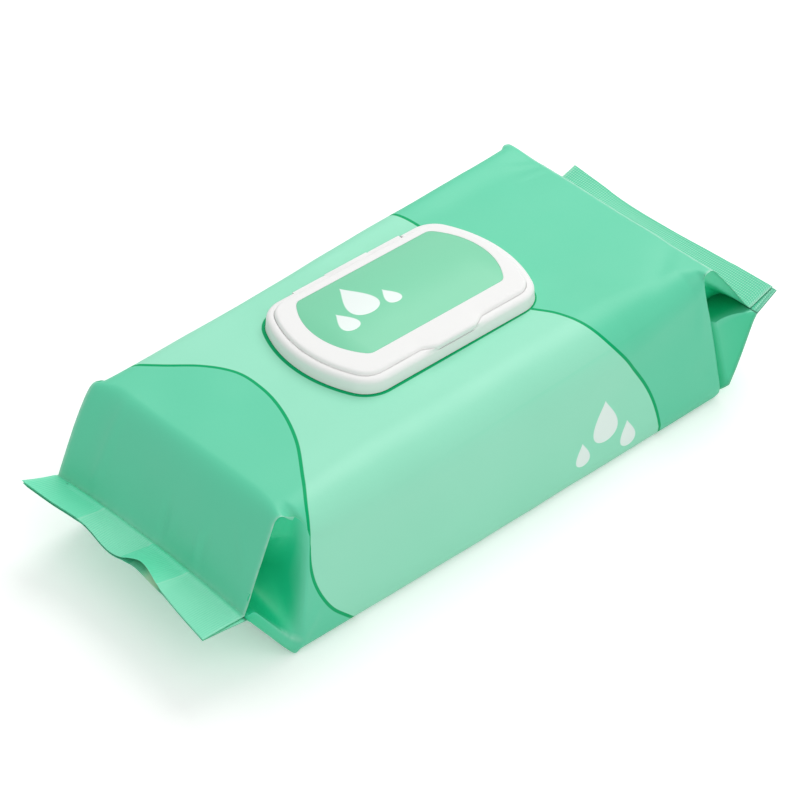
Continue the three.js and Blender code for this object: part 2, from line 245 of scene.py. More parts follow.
def skin(bm, rings, flat=None, marks=None):
    """Adds a soft skin through rings of points: a grid drawn over them, welded round, with its two ends filled."""
    rows, columns = rings.shape[:2]
    layers = {name: bm.verts.layers.float.new(name) for name in marks or {}}
    uv = bm.loops.layers.uv.new("UVMap") if flat is not None else None
    made = bmesh.ops.create_grid(bm, x_segments=columns, y_segments=rows - 1, size=1)["verts"]
    seam = []
    for v in made:
        i = round((v.co.x + 1) / 2 * columns)
        j = round((v.co.y + 1) / 2 * (rows - 1))
        v.co = Vector(rings[j, i % columns]) * MM
        for name, layer in layers.items():
            v[layer] = marks[name][j, i % columns]
        if uv is not None:
            for loop in v.link_loops:
                loop[uv].uv = flat[j, i] * MM
        if i in (0, columns):
            seam.append(v)
    bmesh.ops.remove_doubles(bm, verts=seam, dist=1e-8)
    bmesh.ops.holes_fill(bm, edges=[e for e in bm.edges if e.is_boundary], sides=0)


def ring_edges(ring):
    """The edges of a closed ring of vertices."""
    following = ring[1:] + ring[:1]
    return [e for v, after in zip(ring, following) for e in v.link_edges if e.other_vert(v) is after]


def sweep(bm, outlines, joined=False):
    """Extrudes a ring from outline to outline, and joins the last to the first or fills both; gives the rings."""
    ring = bmesh.ops.create_circle(bm, radius=MM, segments=len(outlines[0]))["verts"]
    rings = [ring]
    for _ in outlines[1:]:
        made = bmesh.ops.extrude_edge_only(bm, edges=ring_edges(ring))["geom"]
        fresh = {g for g in made if isinstance(g, bmesh.types.BMVert)}
        ring = [next(e.other_vert(v) for e in v.link_edges if e.other_vert(v) in fresh) for v in ring]
        rings.append(ring)
    for ring, outline in zip(rings, outlines):
        for v, point in zip(ring, outline):
            v.co = Vector(point) * MM
    if joined:
        bmesh.ops.bridge_loops(bm, edges=ring_edges(rings[0]) + ring_edges(rings[-1]))
    else:
        bmesh.ops.edgeloop_fill(bm, edges=ring_edges(rings[0]))
        bmesh.ops.edgeloop_fill(bm, edges=ring_edges(rings[-1]))
    return rings


def round_rings(bm, rings, radius, segments):
    """Rounds the edges along some rings of a sweep."""
    edges = [e for ring in rings for e in ring_edges(ring)]
    bmesh.ops.bevel(
        bm, geom=edges, offset=radius * MM, affect="EDGES", segments=segments, profile=0.5, material=-1,
        clamp_overlap=True, loop_slide=True
    )


def block(bm, low, high, bevel):
    """Adds a box between two corners, with rounded edges."""
    low, high = Vector(low), Vector(high)
    made = bmesh.ops.create_cube(bm, size=1)["verts"]
    size = (high - low) * MM
    bmesh.ops.scale(bm, vec=size, verts=made)
    bmesh.ops.translate(bm, vec=(low + high) / 2 * MM, verts=made)
    edges = list({e for v in made for e in v.link_edges})
    bmesh.ops.bevel(
        bm, geom=edges, offset=bevel * MM, affect="EDGES", segments=3, profile=0.5, material=-1, clamp_overlap=True
    )


def put_in_order(elements, place):
    """Numbers a mesh's elements by where they lie, so that every run numbers them alike."""
    rank = {e: i for i, e in enumerate(sorted(elements, key=lambda e: tuple(place(e))))}
    elements.sort(key=rank.get)


def finish(bm, name, material, body, nodes=(), sharp=38):
    """Turns a mesh into a finished piece that rides on a body and stands for CAD nodes."""
    if not all(e.is_manifold for e in bm.edges):
        raise RuntimeError(f"{name} isn't closed")
    bmesh.ops.recalc_face_normals(bm, faces=bm.faces)
    for f in bm.faces:
        f.smooth = True
    limit = math.radians(sharp)
    for e in bm.edges:
        e.smooth = not e.is_manifold or e.calc_face_angle(0) < limit
    put_in_order(bm.verts, lambda v: v.co)
    put_in_order(bm.edges, lambda e: e.verts[0].co + e.verts[1].co)
    put_in_order(bm.faces, lambda f: f.calc_center_median())
    mesh = bpy.data.meshes.new(name)
    bm.to_mesh(mesh)
    bm.free()
    mesh.materials.append(material)
    piece = bpy.data.objects.new(name, mesh)
    bpy.context.scene.collection.objects.link(piece)
    if body:
        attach(piece, body)
    if nodes:
        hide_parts(*nodes)
    return piece


# Shader nodes


def node(tree, kind, inputs=None, **settings):
    """Adds a shader node, sets its options, and sets or links its inputs by name or number."""
    made = tree.nodes.new(kind)
    for key, value in settings.items():
        setattr(made, key, value)
    for key, value in (inputs or {}).items():
        socket = made.inputs[key]
        if isinstance(value, bpy.types.NodeSocket):
            tree.links.new(value, socket)
        else:
            socket.default_value = value
    return made


def math_node(tree, operation, a, b=0.0, c=0.0, clamp=False):
    """One sum on values."""
    return node(tree, "ShaderNodeMath", {0: a, 1: b, 2: c}, operation=operation, use_clamp=clamp).outputs[0]


def mix_colour(tree, factor, a, b, blend="MIX"):
    """A mix of two colours."""
    inputs = {0: factor, 6: a, 7: b}
    return node(tree, "ShaderNodeMix", inputs, data_type="RGBA", blend_type=blend).outputs[2]


def material(name, **plain):
    """A new material with one surface shader, its plain values set on the shader's own sockets."""
    made = bpy.data.materials.new(name)
    made.use_nodes = True
    tree = made.node_tree
    shader = tree.nodes["Principled BSDF"]
    for key, value in plain.items():
        shader.inputs[key.replace("_", " ").title().replace("Ior", "IOR")].default_value = value
    return made, tree, shader


def group(name, inputs, outputs):
    """A new node group with named sockets: the group, its input node and its output node."""
    made = bpy.data.node_groups.new(name, "ShaderNodeTree")
    for socket, (kind, default) in inputs.items():
        added = made.interface.new_socket(socket, in_out="INPUT", socket_type=kind)
        if default is not None:
            added.default_value = default
    for socket, kind in outputs.items():
        made.interface.new_socket(socket, in_out="OUTPUT", socket_type=kind)
    return made, made.nodes.new("NodeGroupInput"), made.nodes.new("NodeGroupOutput")


def grain_group():
    """Fine uneven surface of mouldings and films: a height and a roughness that wander over the piece."""
    known = bpy.data.node_groups.get("Fine grain")
    if known:
        return known
    made, start, end = group(
        "Fine grain",
        {
            "Vector": ("NodeSocketVector", None),
            "Size": ("NodeSocketFloat", 1.0),
            "Roughness": ("NodeSocketFloat", 0.4),
            "Spread": ("NodeSocketFloat", 0.08),
        },
        {"Height": "NodeSocketFloat", "Roughness": "NodeSocketFloat"},
    )
    scale = math_node(made, "DIVIDE", 1000.0, start.outputs["Size"])
    fine = node(made, "ShaderNodeTexNoise", {"Vector": start.outputs["Vector"], "Scale": scale, "Detail": 3.0})
    broad = node(made, "ShaderNodeTexNoise", {"Vector": start.outputs["Vector"], "Scale": 45.0, "Detail": 2.0})
    wander = math_node(made, "SUBTRACT", broad.outputs["Fac"], 0.5)
    rough = math_node(made, "MULTIPLY_ADD", wander, start.outputs["Spread"], start.outputs["Roughness"])
    made.links.new(fine.outputs["Fac"], end.inputs["Height"])
    made.links.new(rough, end.inputs["Roughness"])
    return made


def drop_group():
    """A printed drop: a mask that is 1 inside a drop with its point up, at a place and size in metres."""
    known = bpy.data.node_groups.get("Printed drop")
    if known:
        return known
    starts = {"Across": 0.0, "Up": 0.0, "Place across": 0.0, "Place up": 0.0, "Size": 0.01, "Edge": 0.0002}
    inputs = {key: ("NodeSocketFloat", value) for key, value in starts.items()}
    made, start, end = group("Printed drop", inputs, {"Mask": "NodeSocketFloat"})
    calc, io = partial(math_node, made), start.outputs
    x = calc("DIVIDE", calc("SUBTRACT", io["Across"], io["Place across"]), io["Size"])
    y = calc("DIVIDE", calc("SUBTRACT", io["Up"], io["Place up"]), io["Size"])
    round_part = calc("SQRT", calc("SUBTRACT", 1.0, calc("MULTIPLY", y, y), clamp=True))
    point = calc("POWER", calc("MULTIPLY_ADD", y, -0.5, 0.5, clamp=True), 0.75)
    gap = calc("SUBTRACT", calc("MULTIPLY", round_part, point), calc("ABSOLUTE", x))
    edge = calc("DIVIDE", io["Edge"], io["Size"])
    inside = calc("LESS_THAN", calc("ABSOLUTE", y), 1.0)
    mask = calc("MULTIPLY_ADD", calc("DIVIDE", gap, edge), 0.5, 0.5, clamp=True)
    made.links.new(calc("MULTIPLY", mask, inside), end.inputs["Mask"])
    return made


def drops_mask(tree, across, up, drops):
    """A mask of some printed drops, each given by its place along, its place up and its half height in millimetres."""
    whole = None
    for place_across, place_up, size in drops:
        places = {"Place across": place_across * MM, "Place up": place_up * MM, "Size": size * MM}
        drop = node(tree, "ShaderNodeGroup", {"Across": across, "Up": up, **places}, node_tree=drop_group())
        mask = drop.outputs["Mask"]
        whole = mask if whole is None else math_node(tree, "MAXIMUM", whole, mask)
    return whole


def clouds(tree, place, scale, detail=2.0):
    """Soft noise over a piece."""
    return node(tree, "ShaderNodeTexNoise", {"Vector": place, "Scale": scale, "Detail": detail}).outputs["Fac"]


def fine_grain(tree, shader, place, size, roughness, spread):
    """Lets a shader's roughness wander, and gives the height of its fine grain."""
    values = {"Vector": place, "Size": size, "Roughness": roughness, "Spread": spread}
    grain = node(tree, "ShaderNodeGroup", values, node_tree=grain_group())
    tree.links.new(grain.outputs["Roughness"], shader.inputs["Roughness"])
    return grain.outputs["Height"]


def raise_grain(tree, shader, height, distance, strength):
    """Bends a shader's normals by a height."""
    bump = node(tree, "ShaderNodeBump", {"Height": height, "Distance": distance, "Strength": strength})
    tree.links.new(bump.outputs[0], shader.inputs["Normal"])


def shaded(tone, share):
    """A colour brought down to a share of its light, with full alpha."""
    return tuple(c * share for c in tone) + (1,)


def white_moulding():
    """Satin white moulded plastic with a fine spark finish."""
    known = bpy.data.materials.get("white_moulding")
    if known:
        return known
    lid = bpy.context.scene.pack_lid
    made, tree, shader = material("white_moulding", ior=1.49, specular_ior_level=0.45)
    place = node(tree, "ShaderNodeTexCoord").outputs["Object"]
    height = fine_grain(tree, shader, place, 0.45, 0.36, 0.1)
    base = mix_colour(tree, clouds(tree, place, 28.0), (*lid.white, 1), shaded(lid.white, 0.965))
    tree.links.new(base, shader.inputs["Base Color"])
    raise_grain(tree, shader, height, 0.00002, 0.5)
    return made


def printed_film():
    """Satin film with two printed greens, lines between them, pale folds of worn ink and painted highlight, painted
    shade in the tucks, seals painted lighter, and crimped seals.
    """
    film = in_mm(bpy.context.scene.pack_film)
    lid = bpy.context.scene.pack_lid
    made, tree, shader = material("printed_film", ior=1.5)
    calc, mix = partial(math_node, tree), partial(mix_colour, tree)
    place = node(tree, "ShaderNodeTexCoord").outputs["Object"]
    flat = node(tree, "ShaderNodeUVMap", uv_map="UVMap").outputs[0]
    along, around, _ = node(tree, "ShaderNodeSeparateXYZ", {0: flat}).outputs

    def mark(name):
        return node(tree, "ShaderNodeAttribute", attribute_name=name).outputs["Fac"]

    # Two greens, with a line where they meet and one round the lid, and drops low on the front
    band = mark("print_band")
    inside = calc("MULTIPLY_ADD", band, 4.0, 0.5, clamp=True)
    tint = mix(inside, (*film.ends, 1), (*film.band, 1))
    near_line = calc("SUBTRACT", film.line_width / 2, calc("ABSOLUTE", band))
    ring = calc("MULTIPLY_ADD", mark("lid_ring"), -5.0, 0.5, clamp=True)
    lines = calc("MAXIMUM", calc("MULTIPLY_ADD", near_line, 5.0, 0.5, clamp=True), ring)
    tint = mix(lines, tint, (*film.line, 1))
    tree.links.new(calc("MULTIPLY_ADD", lines, -0.45, 0.55), shader.inputs["Specular IOR Level"])
    tint = mix(drops_mask(tree, along, around, PRINTED_DROPS), tint, (*lid.motif, 1))

    # Pale lines on the folds and the seals' roots: ink thinned by wear, and painted highlight on the fold edges; the
    # tone also drifts a little over the sheet
    uneven = calc("MULTIPLY_ADD", clouds(tree, place, 420.0, 3.0), 1.1, -0.05, clamp=True)
    wear_and_highlight = calc("MULTIPLY", mark("fold_wear"), uneven)
    tint = mix(calc("MULTIPLY", wear_and_highlight, 0.75), tint, (0.72, 0.88, 0.8, 1))
    drift = calc("MULTIPLY_ADD", clouds(tree, place, 14.0), 0.22, -0.05, clamp=True)
    tint = mix(drift, tint, (0.2, 0.62, 0.42, 1), "MULTIPLY")

    # Painted shade: the tucks are painted a deeper green for the shade in them and the light filtered through the film,
    # and the bag's inside is painted near black for the shade there
    tuck = mark("tuck")
    tint = mix(1.0, tint, mix(tuck, (1, 1, 1, 1), (0.05, 0.93, 0.72, 1)), "MULTIPLY")
    share_not_painted_dark = calc("MULTIPLY_ADD", tuck, -0.75, 1.75, clamp=True)
    tint = mix(share_not_painted_dark, (0.001, 0.03, 0.015, 1), tint)

    # The left seal shows the edges of the layers below as faint steps between panels of two tones
    seal = mark("seal")
    left_end, right_end = calc("LESS_THAN", along, 0.0), calc("GREATER_THAN", along, 0.0)
    left_seal = calc("MULTIPLY", seal, left_end)
    steps, panels = None, []
    for at_root, at_edge in LAYER_STEPS:
        slant = (at_edge - at_root) / LEFT_SEAL_LENGTH
        past = calc("ADD", around, calc("MULTIPLY_ADD", along, slant, (LEFT_SEAL_ROOT * slant - at_root) * MM))
        panels.append(calc("MULTIPLY_ADD", past, 1 / (0.8 * MM), 0.5, clamp=True))
        near = calc("MULTIPLY_ADD", calc("ABSOLUTE", past), -1 / (0.5 * MM), 1.0, clamp=True)
        steps = near if steps is None else calc("MAXIMUM", steps, near)
    pale_panels = calc("ADD", calc("SUBTRACT", calc("SUBTRACT", panels[0], panels[2]), panels[1]), 1.0)

    # Crimp: fine ribs across the seals, crossed by a second set at the right hand end
    ribs, cross = (calc("SINE", calc("MULTIPLY", axis, 2 * math.pi / (RIB_PITCH * MM))) for axis in (around, along))
    ribs = calc("MULTIPLY_ADD", calc("MULTIPLY", cross, right_end), 0.8, ribs)
    patchy = calc("MULTIPLY_ADD", clouds(tree, place, 70.0, 1.0), 1.6, -0.35, clamp=True)
    press = calc("MULTIPLY", calc("MAXIMUM", patchy, right_end), 0.6)
    crimp = calc("MULTIPLY", calc("MULTIPLY", ribs, seal), press)
    strength = calc("MULTIPLY_ADD", right_end, 0.12, 0.14)
    tone = calc("MULTIPLY", calc("MULTIPLY_ADD", crimp, strength, 0.07, clamp=True), seal)
    tone = calc("MAXIMUM", tone, calc("MULTIPLY", calc("MULTIPLY", steps, left_seal), 0.24))
    tone = calc("MULTIPLY_ADD", calc("MULTIPLY", pale_panels, left_seal), 0.1, tone)
    # Painted light: the seals are painted a lighter green, the left one most
    seal_painted_light = calc("MULTIPLY", seal, calc("MULTIPLY_ADD", left_end, 0.5, 0.1))
    tint = mix(seal_painted_light, tint, (0.085, 0.86, 0.5, 1))
    tint = mix(tone, tint, (0.8, 0.95, 0.88, 1))
    tint = mix(calc("MULTIPLY", mark("bare"), 0.85), tint, (0.6, 0.84, 0.6, 1))
    tree.links.new(tint, shader.inputs["Base Color"])

    grain = fine_grain(tree, shader, place, 1.4, 0.46, 0.16)
    raise_grain(tree, shader, calc("MULTIPLY_ADD", grain, 0.35, crimp), 0.00012, 0.55)
    return made


def nonwoven():
    """Damp white nonwoven: matted fibres under a small embossed diamond pattern."""
    lid = bpy.context.scene.pack_lid
    made, tree, shader = material("nonwoven", sheen_weight=0.25, sheen_roughness=0.5, specular_ior_level=0.3)
    calc = partial(math_node, tree)
    place = node(tree, "ShaderNodeTexCoord").outputs["Object"]
    turned = node(tree, "ShaderNodeMapping", {"Vector": place, "Rotation": (0, 0, math.radians(45))}).outputs[0]
    split = node(tree, "ShaderNodeSeparateXYZ", {0: turned}).outputs
    a, b = (calc("COSINE", calc("MULTIPLY", axis, 2 * math.pi / (DIMPLE_PITCH * MM))) for axis in split[:2])
    fibres = {"Vector": place, "Scale": 900.0, "Detail": 6.0, "Roughness": 0.7, "Distortion": 1.5}
    fibre = node(tree, "ShaderNodeTexNoise", fibres).outputs["Fac"]
    height = calc("MULTIPLY_ADD", calc("SMOOTH_MAX", a, b, 0.4), -0.45, fibre)
    # Painted shade: darker in the embossed hollows and the low fibres
    shade = calc("MULTIPLY_ADD", height, 0.35, 0.55, clamp=True)
    tree.links.new(mix_colour(tree, shade, shaded(lid.wipe, 0.8), (*lid.wipe, 1)), shader.inputs["Base Color"])
    tree.links.new(calc("MULTIPLY_ADD", fibre, 0.25, 0.55), shader.inputs["Roughness"])
    raise_grain(tree, shader, height, 0.0003, 0.7)
    return made


def label_print():
    """Smooth printed label: a plain green ground with a few drops."""
    lid = bpy.context.scene.pack_lid
    made, tree, shader = material("label_print", ior=1.5, specular_ior_level=0.4)
    place = node(tree, "ShaderNodeTexCoord").outputs["Object"]
    across, up, _ = node(tree, "ShaderNodeSeparateXYZ", {0: place}).outputs
    ground = mix_colour(tree, clouds(tree, place, 30.0), (*lid.label, 1), shaded(lid.label, 0.95))
    tint = mix_colour(tree, drops_mask(tree, across, up, LABEL_DROPS), ground, (*lid.motif, 1))
    tree.links.new(tint, shader.inputs["Base Color"])
    raise_grain(tree, shader, fine_grain(tree, shader, place, 1.1, 0.34, 0.08), 0.00002, 0.4)
    return made


# Pitches of the seals' ribs and of the wipes' embossing, mm
RIB_PITCH = 0.95
DIMPLE_PITCH = 2.6
# Edges of the layers under the left seal's upper sheet, from the seal's root to its edge: places round the film
LAYER_STEPS = [(1.2, 5.0), (-18.9, -17.0), (27.3, 28.7)]
LEFT_SEAL_ROOT, LEFT_SEAL_LENGTH = 141, 14
# Places of the printed drops: along, up and half height, mm
PRINTED_DROPS = [(46.0, -84.0, 9.0), (34.0, -93.0, 5.0), (57.0, -95.0, 5.5)]
LABEL_DROPS = [(-12.0, 18.0, 9.0), (-1.0, 12.0, 4.5), (-23.0, 11.0, 5.5)]


# The film bag

# Printed lines in the film's flat coordinates: along the pack, and round it from the middle of the top
LEFT_LINE = [
    (-80, 112), (-84, 100), (-93, 86), (-97, 72), (-95.5, 60), (-89, 50), (-82, 43), (-72, 33.4), (-65, 22.5),
    (-63.7, 9.4), (-67, -5.6), (-73.6, -20.2), (-85.9, -38), (-93.5, -49), (-96, -55), (-97, -67), (-94, -82),
    (-87, -95), (-76.7, -106), (-70, -118),
]
RIGHT_LINE = [
    (30, 112), (26, 95), (27, 75), (33, 60), (38, 52), (41, 43), (40, 30), (35, 10), (34, -8), (36.6, -22), (42, -31),
    (45.5, -41), (50, -52), (59, -66), (67, -80), (72, -94), (74, -106), (74, -118),
]
# The upper fold of each end: shares of the way from the tuck (0) to the seal's root (1) and its edge (2), and the
# fold's distance round the film from the middle of the top
UPPER_FOLDS = {
    ("left", "front"): ((-0.07, 0.04, 0.37, 1, 2), (55.5, 48.6, 45.6, 48.0, 48.0)),
    ("left", "back"): ((0, 0.42, 1, 2), (53.0, 52.0, 53.0, 54.5)),
    ("right", "front"): ((0, 0.27, 1, 2), (53.5, 53.0, 53.0, 53.5)),
    ("right", "back"): ((0, 0.27, 1, 2), (54.0, 53.5, 52.0, 51.5)),
}
# The lower fold of each end, in the same shares, and its distance from the middle of the base
LOWER_FOLDS = {
    ("left", "front"): ((0, 1, 2), (53.0, 49.5, 47.6)),
    ("left", "back"): ((0, 1, 2), (52.0, 53.5, 54.0)),
    ("right", "front"): ((0, 0.17, 1, 2), (49.0, 54.2, 56.5, 55.5)),
    ("right", "back"): ((0, 0.2, 1, 2), (50.0, 53.0, 52.5, 51.8)),
}
# At the corners of the top: how far out its end fold lies, half the length of its bend, and where round the film it
# goes from the middle's fold to the corner's
CORNER_BENDS = {("left", "front"): (-0.4, 2.2, 28, 48), ("left", "back"): (3.9, 4.4, 42, 52)}
# Where along each end the film goes from its rounded section to the folded one: above the upper fold, and below it
FOLD_SPANS = {
    ("left", "front"): ((98.5, 106.0), (95.0, 99.5)),
    ("left", "back"): ((100.0, 107.0), (98.0, 105.0)),
    ("right", "front"): ((96.8, 99.0), (96.8, 98.6)),
    ("right", "back"): ((96.8, 99.0), (96.8, 98.6)),
}
# Round of the top edges and half width of the bag along the pack, at the front and at the back
TOP_ROUNDS = {"front": ((-97, -60, 60, 92, 98), (13.0, 17.0, 17.0, 10.0, 5.0)), "back": ((-97, 97), (4.5, 3.5))}
HALF_WIDTHS = {
    "front": ((-90, 0, 90), (53.8, 54.0, 53.2)),
    "back": ((-86, -43, 2, 49, 95), (52, 53.2, 53.5, 54.2, 54.4)),
}
# The tucks: place of the deepest crease round the film, and heights where the tuck starts
LEFT_CREASE, RIGHT_CREASE = 79.0, 70.0
LEFT_CREASE_HEIGHT = 33.0
RIGHT_LIP_HEIGHT, RIGHT_SHELF_HEIGHT, RIGHT_LOW_HEIGHT = 58.3, 52.5, 35.5
# How far round the film the top panel, a seal's upper sheet, the sides and half the base go
TOP_END, SHEET_END, SIDE_END, BASE_HALF = 47, 45, 105, 52.0
# The seals: half the gap between their sheets, sections along each, and places across where the left one is read
SHEET_GAP = 0.45
LEFT_SEAL_STEPS, RIGHT_SEAL_STEPS = 24, 20
SEAL_PLACES = (-50, -34, -18, -4, 8, 27, 41, 55)
FILM_THICKNESS = 0.12


def line_gap(line, x, v):
    """Signed distance from flat points to a printed line, positive to its right hand side."""
    points = np.array(sorted(line, key=lambda p: p[1]), float)
    line_v = np.linspace(points[0, 1], points[-1, 1], 600)
    line_x = curve(points[:, 1], points[:, 0], line_v)
    along = np.stack([np.gradient(line_x), np.gradient(line_v)], axis=-1)
    along /= np.linalg.norm(along, axis=-1, keepdims=True)
    gap = np.zeros_like(x)
    for row in range(len(x)):
        away = (x[row][:, None] - line_x) ** 2 + (v[row][:, None] - line_v) ** 2
        near = away.argmin(axis=1)
        off_x, off_v = x[row] - line_x[near], v[row] - line_v[near]
        gap[row] = off_x * along[near, 1] - off_v * along[near, 0]
    return gap


def end_line(x, flat_height, fold, soft, root, root_height, tip, tip_height, belly=0.0):
    """Height of the top or the base along one end: level, a soft bend, a straight fall to the root, and the seal."""
    if x >= root:
        return root_height + (tip_height - root_height) * (x - root) / (tip - root) + 0.0 * fold
    rise = (root_height - flat_height) / (root - fold)
    past = np.maximum(0.0, x - fold + soft)
    bent = rise * np.where(past < 2 * soft, past**2 / (4 * soft), past - soft)
    return flat_height + bent + belly * np.sin(np.pi * past / (root - fold + soft)) ** 2


def bumps(x, y, dents):
    """Sum of soft dents and creases: place, half sizes, turn in degrees and height."""
    total = np.zeros_like(x)
    for px, py, a, b, turn, high in dents:
        c, s = math.cos(math.radians(turn)), math.sin(math.radians(turn))
        u, w = (x - px) * c + (y - py) * s, (y - py) * c - (x - px) * s
        total += high * np.exp(-((u / a) ** 2) - (w / b) ** 2)
    return total


# Dents and creases of the top panel and its sloping ends: x, y, half length, half width, turn, height
TOP_DENTS = [
    (-111, 20, 8, 14, 0, -0.8),
    (-109, -14, 8, 10, 20, 0.4),
    (-110, 36.5, 9, 2.2, -4, 0.7),
    (-112, -38, 8, 1.1, 62, 0.4),
    (-114, -42, 7, 1.0, 75, -0.4),
    (-115, 1, 3.5, 1.5, 12, -0.7),
    (-115, -2.5, 3, 1.2, -30, 0.4),
    (-115, -20, 3.5, 1.4, -12, -0.6),
    (-114.5, -17, 3, 1.2, 30, 0.4),
    (93, 42, 14, 1.1, -30, 0.4),
    (97, 34, 9, 0.9, -12, 0.35),
    (88, -40, 16, 4.0, 32, -0.5),
    (-90, 30, 20, 9, 40, -0.4),
    (-84, -22, 18, 10, -20, 0.3),
]
# Dents of the two long sides: x, height, half length, half width, turn, depth
SIDE_DENTS = [
    (92, 16, 9, 2.2, -60, -0.6),
    (93, 40, 9, 2.5, 80, 0.4),
    (60, 30, 26, 10, 20, -0.6),
    (-40, 22, 34, 9, -8, -0.5),
    (10, 38, 40, 8, 5, 0.4),
    (-90, 47, 8, 1.4, -12, -0.6),
    (-93, 12, 7, 2.0, 60, 0.5),
]


def film_half(x, side, film):
    """Half a section of the bag, from the middle of its top to that of its base: flat length, y, z, fold wear with
    painted highlight, and painted tuck shade.
    """
    end = "right" if x > 0 else "left"
    fold, soft, tuck, under, root, root_z, tip, tip_z = (
        getattr(film, f"{end}_{key}")
        for key in ("fold", "soft", "tuck", "base", "root", "root_height", "tip", "tip_height")
    )
    d, high = abs(x), FILM_HIGH[2]
    half = np.interp(x, *HALF_WIDTHS[side])
    breaks, round_at = rounded_box(half, 0, high, film.base_round, np.interp(x, *TOP_ROUNDS[side]))
    whole = breaks[-1]
    way = (d - tuck) / (root - tuck) if d < root else 1 + (d - root) / (tip - root)
    share = min(1.0, max(0.0, way))
    closing = float(ease(root - 1.5, root, d))
    gap = 0.5 - 0.22 * closing
    base = float(end_line(d, 0.0, under, 2.5, root, root_z, tip, tip_z, -1.2)) - SHEET_GAP * closing
    out = np.interp(way, *LOWER_FOLDS[end, side])
    lower = whole - BASE_HALF
    left_upper, right_upper = (np.interp(way if end == e else -1, *UPPER_FOLDS[e, side]) for e in ("left", "right"))
    lip = left_upper + 0.38 * (LEFT_CREASE - left_upper)
    left_marks = np.array([left_upper, lip, (lip + LEFT_CREASE) / 2, LEFT_CREASE, lower - 6.0])
    low = RIGHT_CREASE + 0.22 * (lower - RIGHT_CREASE)
    right_marks = np.array([right_upper, right_upper + 3.0, right_upper + 8.5, RIGHT_CREASE, low])
    upper, lip, shelf, crease, low = left_marks + (right_marks - left_marks) * ease(-80, 80, x)
    seam = np.concatenate([np.linspace(0, 5.9, 5), [6.1, 7.9, 8.1], np.linspace(10, BASE_HALF, 22)])
    v = np.concatenate(
        [
            np.linspace(0, upper, 38),
            upper + np.array([0.5, 1.2]),
            np.linspace(upper + 1.2, lip, 5)[1:],
            np.linspace(lip, shelf, 7)[1:],
            np.linspace(shelf, crease, 7)[1:],
            np.linspace(crease, low, 11)[1:],
            np.linspace(low, lower - 1.2, 9)[1:],
            [lower - 0.5],
            whole - seam[::-1],
        ]
    )
    shift, edge_soft, inner, outer = CORNER_BENDS.get((end, side), (0.0, soft, 28, 48))
    corner = ease(inner, outer, v)
    bulge = 0.8 - 2.4 * corner * (shift > 0)
    top = end_line(d, high, fold + shift * corner, soft + (edge_soft - soft) * corner, root, root_z, tip, tip_z, bulge)
    top = top + SHEET_GAP * closing
    edge = float(np.interp(upper, v, top))
    y0, z0 = round_at(v)
    z0 = base + z0 / high * (top - base)

    # The tuck: under the upper fold to a lip, in to the deepest crease, out to a second lip and the lower fold
    if end == "left":
        depth = film.tuck_depth * math.sin(math.pi / 2 * share) ** 0.75
        crease_z = LEFT_CREASE_HEIGHT * (1 - share) + root_z * share
        lip_z = max(edge - 0.38 * (edge - crease_z), crease_z + 0.1)
        shelf_z = (lip_z + crease_z) / 2
        low_z = base + gap + 5.5 * (1 - float(ease(0.78, 1, share)))
        lip_y, low_y = upper - 9 * share**1.5 - 0.7, out - 0.7 - 1.2 * share
        shelf_y = (lip_y + upper - depth) / 2
    else:
        depth = 0.6 * film.tuck_depth * math.sin(math.pi / 2 * share) ** 0.5
        hollow = 4 * share * (1 - share)
        lip_z = RIGHT_LIP_HEIGHT * (1 - share) + (root_z + 0.35) * share
        shelf_z = RIGHT_SHELF_HEIGHT * (1 - share) + (root_z + 0.3) * share
        low_z = RIGHT_LOW_HEIGHT * (1 - share) + (root_z - 0.3) * share
        crease_z = low_z - 3.0 * hollow + 1.0 * (1 - share)
        lip_y, low_y = upper - 0.7 - 1.8 * hollow - 0.6 * share, out - 0.7 - 2.5 * hollow - 0.8 * share
        shelf_y = upper - 0.7 - 0.55 * depth
    if d > root:
        crease_z, lip_z, shelf_z, low_z = (edge + base) / 2, edge - gap, edge - gap, base + gap
    knots = (0, upper, upper + 1.2, lip, shelf, crease, low, lower - 1.2, lower, whole)
    across = (0, upper, upper - 0.7, lip_y, shelf_y, upper - depth, low_y, out - 0.7, out, 0)
    top_gap, base_gap = edge - gap, base + gap
    lip_z, shelf_z, low_z = min(lip_z, top_gap), min(shelf_z, top_gap), max(low_z, base_gap)
    heights = (edge, edge, top_gap, lip_z, shelf_z, crease_z, low_z, base_gap, base, base)
    y1, z1 = np.interp(v, knots, across), np.interp(v, knots, heights)
    z1 = np.where(v <= upper, top, z1)
    spans = FOLD_SPANS[end, side]
    folded = np.where(v <= upper, ease(*spans[0], d), ease(*spans[1], d))
    # Pale lines along the folds: worn ink and painted highlight on the fold edges
    worn_and_highlit = np.exp(-(((v - upper) / 0.8) ** 2)) + 0.7 * np.exp(-(((v - lower) / 0.9) ** 2))
    if end == "left":
        worn_and_highlit = worn_and_highlit + 0.6 * np.exp(-(((v - low) / 0.8) ** 2))
    y, z = y0 + (y1 - y0) * folded, z0 + (z1 - z0) * folded
    if (end, side) == ("left", "front"):
        z = z - 2.2 * math.exp(-(((d - 99.0) / 3.5) ** 2)) * np.exp(-(((v - upper) / 4.0) ** 2))
    # Painted shade: darker deeper into the tucks, and under the right end's lip and above its lower fold
    tuck_shade = ease(1.0, 6.5, half - y) * (v > upper + 1.0) * (v < lower - 1.0)
    if end == "right" and d < root:
        under_lip = 0.85 * (1 - share) * (v > upper + 1.0) * (v < shelf)
        tuck_shade = np.maximum(tuck_shade, folded * np.maximum(under_lip, 0.5 * (v > low) * (v < lower - 1.0)))
    return v, y, z, worn_and_highlit * folded, tuck_shade


